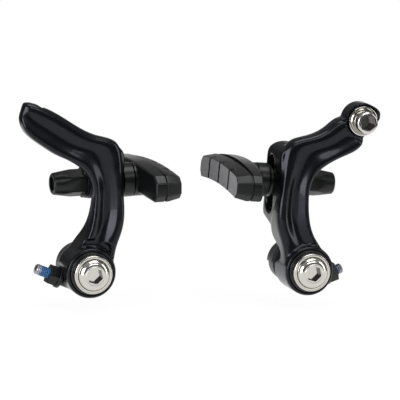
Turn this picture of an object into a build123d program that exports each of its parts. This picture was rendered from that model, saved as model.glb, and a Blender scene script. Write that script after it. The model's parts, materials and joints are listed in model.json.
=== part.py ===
"""Cantilever rim brake: a left and a right arm on two frame bosses, with shoes, springs and hardware."""

import os
from math import asin, cos, radians, sin, sqrt

from build123d import *

# X runs to the right, Y to the rear and Z up. The origin lies midway between the two boss axes,
# in the plane of the shoe studs. The pieces are drawn for the right arm, and the left arm mirrors them.
# A point beside a boss is (u, z): u outwards from the boss axis, z above it.
# A depth is measured backwards from the bright face of the fixing washer.
boss_spacing = 80.0
boss_bore_r = 4.15
stud_depth = 18.0

# clearances
running_gap = 0.05
thread_gap = 0.04
press_gap = 0.01
flat_gap = 0.05
ball_gap = 0.12
bolt_hole_gap = 0.2
seat_gap = 0.3

# how far a cut runs past what it cuts
overcut = 1.0
rear_cut = 8.0

# pivot: fixing bolt, washer, sleeve, bush and seal
bolt_r = 3.0
bolt_neck_r = 2.8
bolt_thread_depth = 2.3
bolt_end_depth = 20.0
bolt_end_chamfer = 0.6
head_r = 5.5
head_side = 0.6
head_rise = 1.9
head_fall = 0.5
socket_across = 5.0
socket_depth = 2.4
washer_r = 6.75
washer_rim = 1.05
washer_floor_depth = 0.7
washer_back_depth = 1.8
washer_bevel = 0.25
washer_edge = 0.3
washer_slope = 0.2
sleeve_wall = 0.95
sleeve_back_depth = 22.0
bush_wall = 1.0
bush_back_depth = 10.8
seal_r = 7.5
seal_front_depth = 2.0
seal_back_depth = 4.2
seal_step = 0.5
seal_bevel = 0.2

# arm barrel and spring
barrel_r = 8.9
barrel_front_depth = 2.6
barrel_back_depth = 16.3
barrel_edge_r = 0.7
rear_face_r = 10.6
lip_r = 11.7
lip_depth = 5.9
lip_inner_u = -7.2
spring_room_r = 7.3
spring_room_depth = 11.0
wire_r = 0.85
coil_r = 6.1
coil_pitch = 3.2
coil_turns = 2.25
spring_tail_depth = 24.4
housing_r = 8.0
housing_lobe_r = 7.2
housing_lobe_u = -2.0
housing_lobe_z = 0.6
housing_step = 0.6
housing_gap = 0.5
housing_floor = 1.1
housing_bevel = 0.4
spring_gap = 0.25
wire_gap = 0.1

# spring tension screw
screw_r = 1.9
screw_angle = 20.6
screw_depth = 12.5
screw_tip_reach = 3.6
screw_hole_deep = 3.2
right_screw_reach = 14.0
left_screw_reach = 16.6
screw_chamfer = 0.35
screw_seat_reach = 6.8
screw_seat_r = 2.6
lock_washer_r = 3.8
lock_washer_thick = 1.4
lock_washer_bevel = 0.2
lock_nut_across = 6.4
lock_nut_thick = 3.4

# arm plate that carries the shoe
limb_back_r = 1.2
plate_inner_u = -11.5
plate_thick = 6.6
plate_back_depth = 25.4
plate_lean = 2.4
plate_front_depth = 7.0
plate_round_depth = 9.0
plate_root_z = 5.0
plate_foot = ((9.5, 7.5), (13.0, 11.8), (17.5, 14.4))
plate_root = ((-9.2, 8.0), (-10.8, 13.0))
plate_root_u = -7.4
plate_join_z = 18.0
plate_low_z = 16.8
plate_top_z = 44.5
plate_corner_r = 6.5
plate_heel_r = 2.4
plate_shoulder_r = 5.0
plate_edge_r = 1.0
slot_half_width = 3.45
slot_low_z = 22.6
slot_high_z = 35.9

# right tip with the cable anchor
anchor_u = 18.2
anchor_z = 53.2
tip_lug_r = 6.4
tip_corner_r = 4.2
tip_corner = (2.8, 1.1)
tip_flat = 5.0
tip_front_depth = 5.7
tip_back_depth = 14.0
tip_edge_r = 1.4
anchor_seat_depth = 7.4
anchor_washer_r = 5.3
recess_gap = 0.6
anchor_washer_thick = 1.4
anchor_washer_bevel = 0.5
anchor_bolt_r = 3.0
anchor_bolt_end_depth = 16.0
anchor_head_bevel = 0.5
anchor_socket_deep = 3.0
anchor_head_r = 3.95
anchor_head_high = 4.6
cable_groove_r = 0.9
cable_angle = 40.0

# left tip with the seat for the straddle cable's end
nipple_u = 20.6
nipple_rise = 0.8
nipple_r = 3.1
nipple_floor_depth = 8.6
cable_slit = 2.0
slit_angle = 35.0

# shoe
shoe_z = 30.1
toe_angle = 2.4
tilt_angle = 2.8
stud_r = 3.0
stud_inner = -13.0
stud_outer = 16.6
stud_bevel = 0.4
face_offset = -21.0
block_thick = 5.6
block_base = 1.2
block_half_length = 25.8
block_shift = 4.8
block_half_height = 4.75
block_taper = 13.0
block_bow = 1.3
block_drop = 0.6
corner_cut = 2.6
corner_r = 1.4
groove_width = 1.5
groove_depth = 2.4
groove_count = 3
reveal = 0.5
reveal_inset = 0.4
holder_back = -9.7
holder_end_back = -11.5
holder_crown = 2.0
holder_edge_r = 1.0
hub_r = 5.9
inner_stack = 9.0
inner_ball_r = 7.0
inner_dome_r = 5.7
inner_cup_r = 6.0
inner_cup_rim = 4.9
outer_stack = 7.6
outer_ball_r = 6.2
outer_dome_r = 4.95
outer_cup_r = 5.8
outer_cup_rim = 4.3
dome_hole_r = 3.9
cup_hole_r = 3.25
cup_bevel = 0.4
flat_washer_r = 5.6
flat_washer_thick = 0.7
nut_collar_r = 5.4
nut_collar_thick = 1.0
nut_across = 8.6
nut_corner_r = 4.8
nut_length = 11.7
nut_taper_start = 5.2
nut_end_r = 3.85
nut_end_bevel = 0.4
nut_thread_depth = 8.5
nut_socket_across = 5.0

# worked out from the sizes above
boss_x = boss_spacing / 2
nipple_z = anchor_z + nipple_rise
sleeve_r = boss_bore_r + sleeve_wall
bush_inner_r = sleeve_r + running_gap
bush_r = bush_inner_r + bush_wall
plate_outer_u = plate_inner_u + plate_thick
ball = Vector(boss_x + plate_inner_u + plate_thick / 2, 0, shoe_z)
stud_level = Vector(cos(radians(toe_angle)), -sin(radians(toe_angle)), 0)
stud_dir = stud_level * cos(radians(tilt_angle)) - Vector(0, 0, sin(radians(tilt_angle)))
pad_dir = Vector(sin(radians(toe_angle)), cos(radians(toe_angle)), 0)
boss_axis = Axis((boss_x, 0, 0), (0, 1, 0))
turning_plane = Plane(origin=(boss_x, -stud_depth, 0), x_dir=(1, 0, 0), z_dir=(0, 0, 1))
screw_dir = Vector(cos(radians(screw_angle)), 0, sin(radians(screw_angle)))
screw_side = Vector(sin(radians(screw_angle)), 0, -cos(radians(screw_angle)))
screw_foot = Vector(boss_x, screw_depth - stud_depth, 0) + screw_side * coil_r


def front_plane(depth, u=0.0, z=0.0):
    """A plane that faces forwards at a depth, centred on the point (u, z)."""
    return Plane(origin=(boss_x + u, depth - stud_depth, z), x_dir=(1, 0, 0), z_dir=(0, -1, 0))


def side_plane(u):
    """A plane that faces outwards at u: its x is the depth and its y is the height."""
    return Plane(origin=(boss_x + u, -stud_depth, 0), x_dir=(0, 1, 0), z_dir=(1, 0, 0))


def shoe_plane(offset):
    """A plane square to the shoe stud, a distance outwards from the centre of the ball washers."""
    return Plane(origin=ball + stud_dir * offset, x_dir=pad_dir, z_dir=stud_dir)


def block_plane(offset):
    """A plane square to the shoe stud, like the last, but centred on the block."""
    middle = ball + pad_dir * block_shift - stud_dir.cross(pad_dir) * block_drop
    return Plane(origin=middle + stud_dir * offset, x_dir=pad_dir, z_dir=stud_dir)


def screw_plane(reach):
    """A plane square to the tension screw, a distance outwards from where its axis passes the boss."""
    return Plane(origin=screw_foot + screw_dir * reach, x_dir=(0, 1, 0), z_dir=screw_dir)


def save(piece, node):
    """Labels a finished piece and writes it."""
    piece.label = node
    export_step(piece, "parts/" + node + ".step")


def save_pair(piece, node):
    """Writes the right arm's piece and its mirror image for the left arm."""
    save(mirror(piece, about=Plane.YZ), "left_" + node)
    save(piece, "right_" + node)


def turned(*profile):
    """A piece turned about the boss axis from a profile of (radius, depth) points."""
    with BuildPart() as piece:
        with BuildSketch(turning_plane):
            with BuildLine():
                Polyline(*profile, close=True)
            make_face()
        revolve(axis=boss_axis)
    return piece.part


def limb_section(inner, outer, front, back, dip, inner_round, outer_round):
    """One cross-section of the forged limb, from its edge by the rim to its outer edge."""
    start = Vector(boss_x + inner[0], front - stud_depth, inner[1])
    across = Vector(outer[0] - inner[0], 0, outer[1] - inner[1])
    width = across.length
    thick = back - front
    plane = Plane(origin=start, x_dir=across, z_dir=across.cross(Vector(0, -1, 0)))
    with BuildSketch(plane) as section:
        with BuildLine():
            crown = ((0, -inner_round), (0.24 * width, 0), (0.62 * width, -dip), (width, -outer_round))
            Spline(*crown, tangents=((0, 1), (0, -1)))
            Polyline(crown[-1], (width, -thick), (0, -thick), crown[0])
        make_face()
        fillet(section.vertices().group_by(Axis.Y)[0], limb_back_r)
    return section.sketch


def raised(share, u, above):
    """A point of the upper limb, whose height follows the tip by that share of its rise over the plate."""
    return (u, plate_top_z + share * (anchor_z - plate_top_z) + above)


def limb_stations():
    """The cross-sections that both limbs share, from inside the barrel to the middle of the upper limb."""
    return [
        limb_section((-8.4, 1.0), (8.4, 1.0), 4.4, 15.4, 0.0, 2.0, 2.0),
        limb_section((-9.7, 9.2), (5.2, 7.2), 4.6, 15.9, 0.6, 2.2, 2.0),
        limb_section((-11.3, 14.0), (1.9, 12.2), 4.8, 16.0, 1.4, 2.4, 2.0),
        limb_section((-12.1, 19.0), (0.2, 17.6), 5.0, 13.0, 1.9, 2.5, 2.3),
        limb_section((-11.8, 25.0), (-0.4, 24.0), 5.2, 11.0, 1.9, 2.5, 2.4),
        limb_section((-11.2, 31.5), (-0.1, 29.6), 5.3, 10.6, 1.6, 2.5, 2.4),
        limb_section((-10.5, 38.5), (2.4, 34.6), 5.6, 10.8, 1.0, 2.5, 2.4),
        limb_section((-8.4, 45.2), (6.0, 37.4), 5.8, 11.0, 0.5, 2.6, 2.5),
        limb_section(raised(0.25, -1.5, 0.925), raised(0.25, 9.9, -7.275), 6.0, 11.6, 0.4, 2.6, 2.6),
        limb_section(raised(0.5, 5.5, 1.75), raised(0.5, 13.8, -7.85), 6.1, 12.6, 0.5, 2.6, 2.8),
        limb_section(raised(0.75, 11.4, 3.075), raised(0.75, 17.9, -7.525), 6.2, 13.2, 0.6, 2.6, 2.8),
    ]


def plate():
    """The plate that carries the shoe, with rounded rear corners and its foot drawn in to the barrel."""
    top = plate_top_z
    heel = (plate_foot[0][0], plate_root_z)
    with BuildPart() as piece:
        with BuildSketch(side_plane(plate_inner_u)) as outline:
            with BuildLine():
                foot = Spline(*plate_foot, (plate_back_depth, plate_low_z))
                Polyline(foot @ 1, (plate_back_depth - plate_lean, top), (plate_front_depth, top))
                Polyline((plate_front_depth, top), (plate_front_depth, plate_root_z), heel, foot @ 0)
            make_face()
            fillet(outline.vertices().sort_by(Axis.X)[-1], plate_heel_r)
            fillet(outline.vertices().sort_by(Axis.Y)[-2:].sort_by(Axis.X)[-1], plate_corner_r)
        extrude(amount=plate_thick)
        rims = piece.edges().filter_by(Axis.X, reverse=True)
        fillet(rims.filter_by(lambda edge: edge.center().Y > plate_round_depth - stud_depth), plate_edge_r)
        with BuildSketch(front_plane(plate_back_depth + overcut)) as front:
            with BuildLine():
                root = ((plate_outer_u, plate_root_z), (plate_root_u, plate_root_z), *plate_root)
                side = ((plate_inner_u, plate_join_z), (plate_inner_u, top), (plate_outer_u, top))
                Polyline(*root, *side, close=True)
            make_face()
            fillet(front.vertices().group_by(Axis.Y)[-1].sort_by(Axis.X)[0], plate_shoulder_r)
        extrude(amount=plate_back_depth, mode=Mode.INTERSECT)
    return piece.part


def barrel():
    """The arm's barrel about the boss, with the flat that the tension screw's washer seats on."""
    with BuildPart() as piece:
        with BuildSketch(front_plane(barrel_back_depth)):
            Circle(barrel_r)
        extrude(amount=barrel_back_depth - barrel_front_depth)
        fillet(piece.faces().sort_by(Axis.Y)[0].edges(), barrel_edge_r)
        with BuildSketch(screw_plane(0)):
            Circle(screw_seat_r)
        extrude(amount=screw_seat_reach)
    return piece.part


def bore_barrel():
    """The barrel's inside: seal recess, bush seat, spring room and the tension screw's hole."""
    with BuildPart() as cutter:
        with BuildSketch(turning_plane):
            with BuildLine():
                Polyline(
                    (0, barrel_front_depth - overcut),
                    (seal_r + press_gap, barrel_front_depth - overcut),
                    (seal_r + press_gap, seal_back_depth),
                    (bush_r + press_gap, seal_back_depth),
                    (bush_r + press_gap, spring_room_depth),
                    (spring_room_r, spring_room_depth),
                    (spring_room_r, barrel_back_depth + rear_cut),
                    (0, barrel_back_depth + rear_cut),
                    close=True,
                )
            make_face()
        revolve(axis=boss_axis)
        with BuildSketch(front_plane(barrel_back_depth + rear_cut)):
            Circle(rear_face_r)
        extrude(amount=rear_cut)
        with BuildSketch(screw_plane(0)):
            Circle(screw_r + thread_gap)
        extrude(amount=screw_seat_reach)
        with BuildSketch(screw_plane(screw_seat_reach)):
            Circle(lock_washer_r + seat_gap)
        extrude(amount=barrel_r)
    return cutter.part


def cut_slot():
    """The upright slot that the shoe stud slides in."""
    with BuildPart() as cutter:
        with BuildSketch(side_plane(plate_inner_u - overcut)):
            with Locations((stud_depth, (slot_low_z + slot_high_z) / 2)):
                SlotCenterToCenter(slot_high_z - slot_low_z, 2 * slot_half_width, rotation=90)
        extrude(amount=plate_thick + 2 * overcut)
    return cutter.part


def lip_round_barrel():
    """The shallow arched recess above the barrel, from the rib on the inner edge to the outer edge."""
    with BuildPart() as cutter:
        with BuildSketch(front_plane(lip_depth)):
            Circle(lip_r)
            Circle(barrel_r - barrel_edge_r, mode=Mode.SUBTRACT)
            with Locations((lip_inner_u, 0)):
                Rectangle(3 * lip_r, 2 * lip_r, align=(Align.MIN, Align.MIN), mode=Mode.INTERSECT)
        extrude(amount=lip_depth)
    return cutter.part


def common_arm(tip_sections):
    """The arm without its tip's details: lofted limb, shoe plate and bored barrel."""
    with BuildPart() as arm:
        loft(limb_stations() + tip_sections)
        add(lip_round_barrel(), mode=Mode.SUBTRACT)
        add(plate())
        add(barrel())
        add(cut_slot(), mode=Mode.SUBTRACT)
        add(bore_barrel(), mode=Mode.SUBTRACT)
    return arm.part


def cable_plane():
    """A plane square to the clamped cable, which passes below the anchor bolt on its way to the middle."""
    lead = Vector(-cos(radians(cable_angle)), 0, sin(radians(cable_angle)))
    below = Vector(-sin(radians(cable_angle)), 0, -cos(radians(cable_angle)))
    anchor = Vector(boss_x + anchor_u, anchor_seat_depth - stud_depth, anchor_z)
    return Plane(origin=anchor + below * (anchor_bolt_r + cable_groove_r), z_dir=lead)


def tip_lug():
    """The rounded end of the right tip, flattened below where the cable's tail leaves."""
    with BuildPart() as lug:
        with BuildSketch(front_plane(tip_back_depth, anchor_u, anchor_z)):
            Circle(tip_lug_r)
            with Locations(tip_corner):
                Circle(tip_corner_r)
            make_hull()
            with Locations(Location((0, 0), -cable_angle)):
                with Locations((tip_flat, 0)):
                    Rectangle(tip_lug_r, 4 * tip_lug_r, align=(Align.MIN, Align.CENTER), mode=Mode.SUBTRACT)
        extrude(amount=tip_back_depth - tip_front_depth)
        fillet(lug.edges().filter_by(Axis.Y, reverse=True), tip_edge_r)
    return lug.part


def right_arm():
    """The right arm, whose tip clamps the cable."""
    inner = (anchor_u - 3.2, anchor_z + 3.4)
    outer = (anchor_u + 1.2, anchor_z - 6.0)
    recess_r = anchor_washer_r + recess_gap
    with BuildPart() as arm:
        add(common_arm([limb_section(inner, outer, 6.3, 13.3, 0.3, 2.6, 2.6)]))
        add(tip_lug())
        with BuildSketch(front_plane(anchor_seat_depth, anchor_u, anchor_z)):
            Circle(recess_r)
            with Locations(Location((0, 0), -cable_angle)):
                Rectangle(recess_r * 3, recess_r * 2, align=(Align.MIN, Align.CENTER))
        extrude(amount=anchor_seat_depth, mode=Mode.SUBTRACT)
        with BuildSketch(front_plane(tip_back_depth + overcut, anchor_u, anchor_z)):
            Circle(anchor_bolt_r + running_gap)
        extrude(amount=tip_back_depth, mode=Mode.SUBTRACT)
        with BuildSketch(cable_plane()):
            Circle(cable_groove_r)
        extrude(amount=2 * tip_lug_r, both=True, mode=Mode.SUBTRACT)
    return arm.part


def left_arm():
    """The left arm, drawn as a right one, whose tip is hollow at the back for the cable's end."""
    def about(u, z):
        """The (u, z) of a point beside the cable seat's middle."""
        return (nipple_u + u, nipple_z + z)

    sections = [
        limb_section(about(-3.4, 3.0), about(2.1, -7.2), 6.5, 13.2, 0.6, 2.6, 2.8),
        limb_section(about(0.9, 4.5), about(4.7, -4.0), 7.0, 13.0, 0.5, 2.2, 2.4),
        limb_section(about(4.3, 4.7), about(5.7, -0.7), 8.4, 12.0, 0.1, 1.4, 1.4),
    ]
    with BuildPart() as arm:
        add(common_arm(sections))
        with BuildSketch(front_plane(nipple_floor_depth, nipple_u, nipple_z)):
            Circle(nipple_r)
        extrude(amount=-tip_back_depth, mode=Mode.SUBTRACT)
        with BuildSketch(front_plane(nipple_floor_depth, nipple_u, nipple_z)):
            with Locations(Location((0, 0), slit_angle)):
                Rectangle(cable_slit, 4 * nipple_r, align=(Align.CENTER, Align.MIN))
        extrude(amount=-tip_back_depth, mode=Mode.SUBTRACT)
    return arm.part


def fixing_washer():
    """The dished washer under the fixing bolt, with a raised bright rim."""
    floor = washer_floor_depth
    back = washer_back_depth
    lip = washer_r - washer_rim
    hole_r = bolt_r + bolt_hole_gap
    return turned(
        (hole_r, floor), (lip - washer_slope, floor), (lip, 0.0), (washer_r - washer_bevel, 0.0),
        (washer_r, washer_edge), (washer_r, back), (hole_r, back),
    )


def fixing_bolt():
    """The button-headed bolt that holds an arm on its boss."""
    base = washer_floor_depth
    shoulder = base - head_side
    crown = -head_rise
    thread = bolt_thread_depth
    with BuildPart() as bolt:
        with BuildSketch(turning_plane):
            with BuildLine():
                arc = ((head_r, shoulder), (0.62 * head_r, crown + head_fall), (0.3 * head_r, crown))
                dome = ThreePointArc(*arc)
                tail = bolt_end_depth
                lead = tail - bolt_end_chamfer
                Polyline(dome @ 1, (0, crown), (0, tail), (bolt_r - bolt_end_chamfer, tail), (bolt_r, lead))
                Polyline((bolt_r, lead), (bolt_r, thread), (bolt_neck_r, thread), (bolt_neck_r, base))
                Polyline((bolt_neck_r, base), (head_r, base), dome @ 0)
            make_face()
        revolve(axis=boss_axis)
        with BuildSketch(front_plane(crown + socket_depth)):
            RegularPolygon(socket_across / 2, 6, major_radius=False)
        extrude(amount=socket_depth + overcut, mode=Mode.SUBTRACT)
    return bolt.part


def pivot_sleeve():
    """The steel sleeve that slips over the boss and that the arm turns on."""
    return turned(
        (boss_bore_r, washer_back_depth), (sleeve_r, washer_back_depth),
        (sleeve_r, sleeve_back_depth), (boss_bore_r, sleeve_back_depth),
    )


def pivot_bush():
    """The plain bush pressed into the barrel."""
    return turned(
        (bush_inner_r, seal_back_depth), (bush_r, seal_back_depth),
        (bush_r, bush_back_depth), (bush_inner_r, bush_back_depth),
    )


def front_seal():
    """The stepped ring that closes the barrel's front."""
    front = seal_front_depth
    back = seal_back_depth
    step_r = seal_r - seal_step
    step = front + seal_step
    return turned(
        (bush_inner_r, front), (step_r - seal_bevel, front), (step_r, front + seal_bevel),
        (step_r, step), (seal_r, step), (seal_r, back), (bush_inner_r, back),
    )


def housing_room_r():
    """The radius inside the spring housing, clear of the coil."""
    return coil_r + wire_r + spring_gap


def housing_outline(r, lobe_r):
    """The housing's outline about the boss, drawn out into a lobe on the inner side."""
    with BuildSketch() as outline:
        Circle(r)
        with Locations((housing_lobe_u, housing_lobe_z)):
            Circle(lobe_r)
        make_hull()
    return outline.sketch


def spring_housing():
    """The cup behind the barrel that covers the spring, with a lobe whose upper half is a step wider."""
    back = sleeve_back_depth
    length = back - barrel_back_depth - housing_gap
    with BuildPart() as housing:
        with BuildSketch(front_plane(back)):
            add(housing_outline(housing_r, housing_lobe_r))
        extrude(amount=length)
        with BuildSketch(front_plane(back)):
            add(housing_outline(housing_r, housing_lobe_r + housing_step))
            with Locations((housing_lobe_u, housing_lobe_z)):
                Rectangle(4 * housing_r, 2 * housing_r, align=(Align.MAX, Align.MIN), mode=Mode.INTERSECT)
        extrude(amount=length)
        chamfer(housing.faces().sort_by(Axis.Y)[-1].edges(), housing_bevel)
        with BuildSketch(front_plane(back - housing_floor)):
            Circle(housing_room_r())
        extrude(amount=length, mode=Mode.SUBTRACT)
        with BuildSketch(front_plane(back)):
            Circle(sleeve_r + press_gap)
            with Locations(spring_tail_point()):
                Circle(wire_r + wire_gap)
        extrude(amount=length, mode=Mode.SUBTRACT)
    return housing.part


def coil_angle(turns):
    """The angle about the boss, in degrees, of the wire that many turns from the screw's end."""
    return screw_angle - 90 - 360 * turns


def spring_tail_point():
    """The (u, z) of the spring's tail, where the coil ends."""
    angle = radians(coil_angle(coil_turns))
    return (coil_r * cos(angle), coil_r * sin(angle))


def return_spring():
    """The coil spring: one end is held in the tension screw and its tail goes into the boss's hole."""
    height = coil_pitch * coil_turns
    with BuildPart() as spring:
        with BuildLine() as coil:
            Helix(coil_pitch, height, coil_r)
        with BuildSketch(Plane(origin=coil.line @ 0, z_dir=coil.line % 0)):
            Circle(wire_r)
        sweep(is_frenet=True)
        with BuildSketch(Plane(origin=(coil_r, 0, 0), z_dir=(0, -1, 0))):
            Circle(wire_r)
        extrude(amount=screw_tip_reach + screw_hole_deep - spring_gap)
        with Locations(coil.line @ 1):
            Sphere(wire_r)
        with BuildSketch(Plane(origin=coil.line @ 1, z_dir=(0, 0, 1))):
            Circle(wire_r)
        extrude(amount=spring_tail_depth - screw_depth - height)
    seat = Plane(origin=(boss_x, screw_depth - stud_depth, 0), x_dir=screw_side, z_dir=(0, 1, 0))
    return seat.location * spring.part


def tension_screw(reach):
    """The screw that holds the spring's end and is drawn outwards to wind it up."""
    with BuildPart() as screw:
        with BuildSketch(screw_plane(screw_tip_reach)):
            Circle(screw_r)
        extrude(amount=reach - screw_tip_reach)
        chamfer(screw.edges().filter_by(GeomType.CIRCLE), screw_chamfer)
        with BuildSketch(screw_plane(screw_tip_reach)):
            Circle(wire_r + wire_gap)
        extrude(amount=screw_hole_deep, mode=Mode.SUBTRACT)
    return screw.part


def lock_washer():
    """The round flange under the tension screw's nut."""
    with BuildPart() as washer:
        with BuildSketch(screw_plane(screw_seat_reach)):
            Circle(lock_washer_r)
            Circle(screw_r + thread_gap, mode=Mode.SUBTRACT)
        extrude(amount=lock_washer_thick)
        chamfer(washer.edges().filter_by(GeomType.CIRCLE).sort_by(SortBy.RADIUS)[-2:], lock_washer_bevel)
    return washer.part


def lock_nut():
    """The small nut that draws the tension screw out and holds it."""
    with BuildPart() as nut:
        with BuildSketch(screw_plane(screw_seat_reach + lock_washer_thick)):
            RegularPolygon(lock_nut_across / 2, 6, major_radius=False)
            Circle(screw_r + thread_gap, mode=Mode.SUBTRACT)
        extrude(amount=lock_nut_thick)
    return nut.part


def block_outline(half_length, half_height, rise, low_rise):
    """The shoe's outline: cut corners, and long sides bowed upwards to follow the rim."""
    flat = half_length - corner_cut
    low = half_height - corner_cut
    with BuildSketch() as outline:
        with BuildLine():
            ThreePointArc((-flat, half_height), (0, half_height + rise), (flat, half_height))
            Polyline((flat, half_height), (half_length, low), (half_length, -low), (flat, -half_height))
            ThreePointArc((flat, -half_height), (0, -half_height + low_rise), (-flat, -half_height))
            Polyline((-flat, -half_height), (-half_length, -low), (-half_length, low), (-flat, half_height))
        make_face()
        fillet(outline.vertices(), corner_r)
    return outline.sketch


def brake_block():
    """The rubber block: a base, then a taper to the friction face, cut by three wear grooves."""
    pitch = 2 * block_half_length / (groove_count + 1)
    base = face_offset + block_thick
    with BuildPart() as block:
        with BuildSketch(block_plane(base)):
            add(block_outline(block_half_length, block_half_height, block_bow, block_bow))
        extrude(amount=-block_base)
        with BuildSketch(block_plane(base - block_base)):
            add(block_outline(block_half_length, block_half_height, block_bow, block_bow))
        extrude(amount=block_thick - block_base, dir=stud_dir * -1, taper=block_taper)
        with BuildSketch(block_plane(face_offset - overcut)):
            with GridLocations(pitch, 0, groove_count, 1):
                Rectangle(groove_width, 4 * block_half_height)
        extrude(amount=groove_depth + overcut, mode=Mode.SUBTRACT)
    return block.part


def pad_holder():
    """The holder behind the block, crowned above and behind, with a hub for the stud."""
    front = face_offset + block_thick
    inset = reveal_inset
    end = block_half_length + overcut
    with BuildPart() as holder:
        with BuildSketch(block_plane(front + reveal)):
            add(block_outline(block_half_length, block_half_height, holder_crown, block_bow))
        extrude(amount=holder_back - front - reveal)
        crowned = Plane(origin=block_plane(0).origin, x_dir=pad_dir, z_dir=pad_dir.cross(stud_dir))
        with BuildSketch(crowned):
            with BuildLine():
                ThreePointArc((-end, holder_end_back), (0, holder_back), (end, holder_end_back))
                Polyline((end, holder_end_back), (end, front), (-end, front), (-end, holder_end_back))
            make_face()
        extrude(amount=3 * block_half_height, both=True, mode=Mode.INTERSECT)
        fillet(holder.faces().sort_by(Axis(ball, stud_dir))[-1].edges(), holder_edge_r)
        with BuildSketch(block_plane(front)):
            add(block_outline(block_half_length - inset, block_half_height - inset, block_bow, block_bow))
        extrude(amount=reveal)
        with BuildSketch(shoe_plane(front + reveal)):
            Circle(hub_r)
        extrude(amount=-inner_stack - flat_gap - front - reveal)
        with BuildSketch(shoe_plane(0)):
            Circle(stud_r + press_gap)
        extrude(amount=stud_inner, mode=Mode.SUBTRACT)
    return holder.part


def shoe_stud():
    """The plain stud moulded into the holder."""
    with BuildPart() as stud:
        with BuildSketch(shoe_plane(stud_inner)):
            Circle(stud_r)
        extrude(amount=stud_outer - stud_inner)
        chamfer(stud.edges().filter_by(GeomType.CIRCLE), stud_bevel)
    return stud.part


def ball_point(radius, height):
    """The point of a ball's outline at a height above the stud's axis."""
    return (sqrt(radius**2 - height**2), height)


def ball_arc(radius, low, high):
    """Three points along a ball's outline between two heights."""
    middle = radius * sin((asin(low / radius) + asin(high / radius)) / 2)
    return ball_point(radius, low), ball_point(radius, middle), ball_point(radius, high)


def dome_washer(outwards, ball_r, dome_r):
    """A domed washer, flat on the arm's plate, for one side of it."""
    way = Vector(outwards, 0, 0)
    flat = plate_thick / 2 + flat_gap
    arc = ball_arc(ball_r, dome_hole_r, dome_r)
    with BuildPart() as washer:
        with BuildSketch(Plane(origin=ball, x_dir=way, z_dir=(0, -outwards, 0))):
            with BuildLine():
                ThreePointArc(*arc)
                Polyline(arc[2], (flat, dome_r), (flat, dome_hole_r), arc[0])
            make_face()
        revolve(axis=Axis(ball, way))
    return washer.part


def cup_washer(outwards, ball_r, cup_r, rim, top):
    """A cupped washer that tilts on a dome, square to the shoe stud."""
    way = stud_dir * outwards
    cup = ball_r + ball_gap
    arc = ball_arc(cup, cup_hole_r, sqrt(cup**2 - rim**2))
    with BuildPart() as washer:
        with BuildSketch(Plane(origin=ball, x_dir=way, z_dir=pad_dir * -outwards)):
            with BuildLine():
                ThreePointArc(*arc)
                Polyline(arc[2], (rim, cup_r), (top - cup_bevel, cup_r), (top, cup_r - cup_bevel))
                Polyline((top, cup_r - cup_bevel), (top, cup_hole_r), arc[0])
            make_face()
        revolve(axis=Axis(ball, way))
    return washer.part


def flat_washer():
    """The thin washer under the shoe nut."""
    with BuildPart() as washer:
        with BuildSketch(shoe_plane(outer_stack)):
            Circle(flat_washer_r)
            Circle(cup_hole_r, mode=Mode.SUBTRACT)
        extrude(amount=flat_washer_thick)
    return washer.part


def shoe_nut():
    """The long flanged nut on the stud, tapered to a hex socket in its end."""
    seat = outer_stack + flat_washer_thick + flat_gap
    end = seat + nut_length
    taper = seat + nut_taper_start
    bevel = end - nut_end_bevel
    with BuildPart() as nut:
        with BuildSketch(shoe_plane(seat)):
            RegularPolygon(nut_across / 2, 6, major_radius=False, rotation=30)
        extrude(amount=nut_length)
        with BuildSketch(Plane(origin=ball, x_dir=stud_dir, z_dir=pad_dir * -1)):
            with BuildLine():
                Polyline((seat, 0), (seat, nut_corner_r), (taper, nut_corner_r), (bevel, nut_end_r))
                Polyline((bevel, nut_end_r), (end, nut_end_r - nut_end_bevel), (end, 0), (seat, 0))
            make_face()
        revolve(axis=Axis(ball, stud_dir), mode=Mode.INTERSECT)
        with BuildSketch(shoe_plane(seat)):
            Circle(nut_collar_r)
        extrude(amount=nut_collar_thick)
        with BuildSketch(shoe_plane(seat)):
            Circle(stud_r + press_gap)
        extrude(amount=nut_thread_depth, mode=Mode.SUBTRACT)
        with BuildSketch(shoe_plane(seat + nut_thread_depth)):
            RegularPolygon(nut_socket_across / 2, 6, major_radius=False, rotation=30)
        extrude(amount=nut_length, mode=Mode.SUBTRACT)
    return nut.part


def anchor_washer():
    """The bevelled washer that presses the cable on the right tip."""
    with BuildPart() as washer:
        with BuildSketch(front_plane(anchor_seat_depth, anchor_u, anchor_z)):
            Circle(anchor_washer_r)
            Circle(anchor_bolt_r + bolt_hole_gap, mode=Mode.SUBTRACT)
        extrude(amount=anchor_washer_thick)
        rim = washer.edges().filter_by(GeomType.CIRCLE).group_by(Axis.Y)[0].sort_by(SortBy.RADIUS)[-1]
        chamfer(rim, anchor_washer_bevel)
    return washer.part


def anchor_bolt():
    """The socket-headed bolt that clamps the cable."""
    head_base = anchor_seat_depth - anchor_washer_thick - flat_gap
    with BuildPart() as bolt:
        with BuildSketch(front_plane(anchor_bolt_end_depth, anchor_u, anchor_z)):
            Circle(anchor_bolt_r)
        extrude(amount=anchor_bolt_end_depth - head_base)
        with BuildSketch(front_plane(head_base, anchor_u, anchor_z)):
            Circle(anchor_head_r)
        extrude(amount=anchor_head_high)
        chamfer(bolt.edges().group_by(Axis.Y)[0], anchor_head_bevel)
        with BuildSketch(front_plane(head_base - anchor_head_high, anchor_u, anchor_z)):
            RegularPolygon(socket_across / 2, 6, major_radius=False)
        extrude(amount=-anchor_socket_deep, mode=Mode.SUBTRACT)
    return bolt.part


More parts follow.
